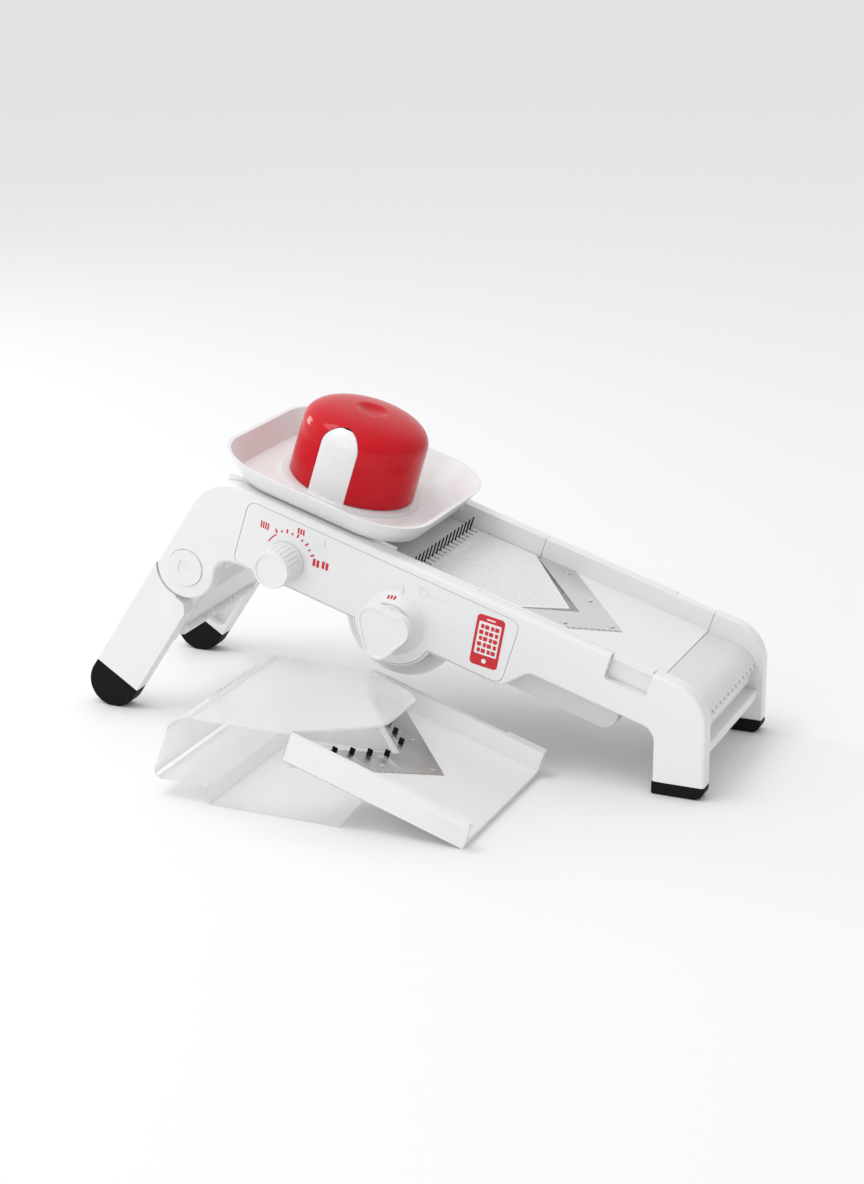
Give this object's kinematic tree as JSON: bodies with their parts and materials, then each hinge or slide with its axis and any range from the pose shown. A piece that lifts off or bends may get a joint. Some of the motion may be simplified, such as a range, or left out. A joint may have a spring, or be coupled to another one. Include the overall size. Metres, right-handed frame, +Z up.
{
  "type": "mandoline slicer",
  "caption": "sloping kitchen mandoline slicer on fold-out legs with V blade insert, thickness dial, julienne tines, dish carriage with red plunger cap and guarded spare insert",
  "frame": {"origin": "middle of the whole set's footprint, on the table the slicer and its spare insert stand on", "axes": "+X from the high end to the low end of the deck, +Y from the control side to the far side, +Z up"},
  "size_m": [0.4082, 0.257, 0.2004],
  "materials": {
    "white_plastic": "satin moulded",
    "control_plastic": "fine matt moulded",
    "grey_plastic": "matt moulded",
    "milky_plastic": "smooth, lets light through",
    "clear_plastic": "thin clear sheet",
    "inner_plastic": "moulded",
    "red_plastic": "gloss moulded",
    "blade_steel": "ground and brushed",
    "hardware_steel": "bright",
    "foot_rubber": "smooth"
  },
  "bodies": {
    "frame": {"near_side_frame": "white_plastic", "far_side_frame": "white_plastic", "control_panel": "control_plastic", "front_crosspiece": "white_plastic", "end_plate": "white_plastic", "rear_crosspiece": "white_plastic", "mid_crosspiece": "white_plastic", "selector_housing": "milky_plastic", "storage_box": "grey_plastic", "insert_frame": "white_plastic", "v_blade": "blade_steel", "blade_rivets": "hardware_steel", "front_foot_near": "foot_rubber", "front_foot_far": "foot_rubber", "pivot_cap_near": "control_plastic", "pivot_cap_far": "control_plastic"},
    "rear_legs": {"rear_leg_near": "white_plastic", "rear_leg_far": "white_plastic", "rear_foot_near": "foot_rubber", "rear_foot_far": "foot_rubber", "leg_crossbar": "white_plastic", "leg_grip_bar": "white_plastic", "leg_pivot_pins": "hardware_steel"},
    "dial": {"dial_knob": "control_plastic", "dial_shaft": "hardware_steel", "lift_cam": "inner_plastic"},
    "ramp": {"slicing_ramp": "white_plastic", "ramp_hinge_pins": "hardware_steel"},
    "selector": {"selector_knob": "control_plastic", "selector_shaft": "hardware_steel"},
    "tines": {"tine_carrier": "white_plastic", "julienne_tines": "blade_steel"},
    "carriage": {"carriage_tray": "white_plastic", "food_sleeve": "white_plastic"},
    "plunger": {"cap_shell": "red_plastic", "plunger_stem": "inner_plastic", "pusher_plate": "inner_plastic", "cap_screw": "hardware_steel"},
    "guard": {"clear_guard": "clear_plastic"},
    "spare_insert": {"spare_insert_frame": "white_plastic", "spare_blade": "blade_steel", "spare_rivets": "hardware_steel"}
  },
  "joints": [
    {"name": "leg_fold", "type": "hinge", "parent": "frame", "child": "rear_legs", "pos_m": [-0.13234, 0.05455, 0.0995], "axis": [0, -1, 0], "range_deg": [0, 105]},
    {"name": "dial_turn", "type": "hinge", "parent": "frame", "child": "dial", "pos_m": [-0.06352, 0.05455, 0.11233], "axis": [0, 1, 0], "range_deg": [0, 270]},
    {"name": "ramp_tilt", "type": "hinge", "parent": "frame", "child": "ramp", "pos_m": [-0.09039, 0.05455, 0.13723], "axis": [0, 1, 0], "range_deg": [0, 2.6]},
    {"name": "selector_turn", "type": "hinge", "parent": "frame", "child": "selector", "pos_m": [0.00864, 0.05455, 0.08333], "axis": [0, -1, 0], "range_deg": [0, 120]},
    {"name": "tine_slide", "type": "slide", "parent": "frame", "child": "tines", "axis": [-0.294, 0, -0.9558], "range_m": [0, 0.01507]},
    {"name": "carriage_slide", "type": "slide", "parent": "frame", "child": "carriage", "axis": [0.9558, 0, -0.294], "range_m": [0, 0.165]},
    {"name": "plunger_slide", "type": "slide", "parent": "carriage", "child": "plunger", "axis": [0.294, 0, 0.9558], "range_m": [0, 0.04]},
    {"name": "guard_slide", "type": "slide", "parent": "frame", "child": "guard", "axis": [0, -1, 0], "range_m": [0, 0.06]},
    {"name": "spare_slide", "type": "slide", "parent": "guard", "child": "spare_insert", "axis": [1, 0, 0], "range_m": [0, 0.06]}
  ],
  "couplings": [
    {"joint": "ramp_tilt", "follows": "dial_turn", "ratio": 0.0096296},
    {"joint": "selector_turn", "follows": "tine_slide", "rad_per_m": 138.89}
  ]
}
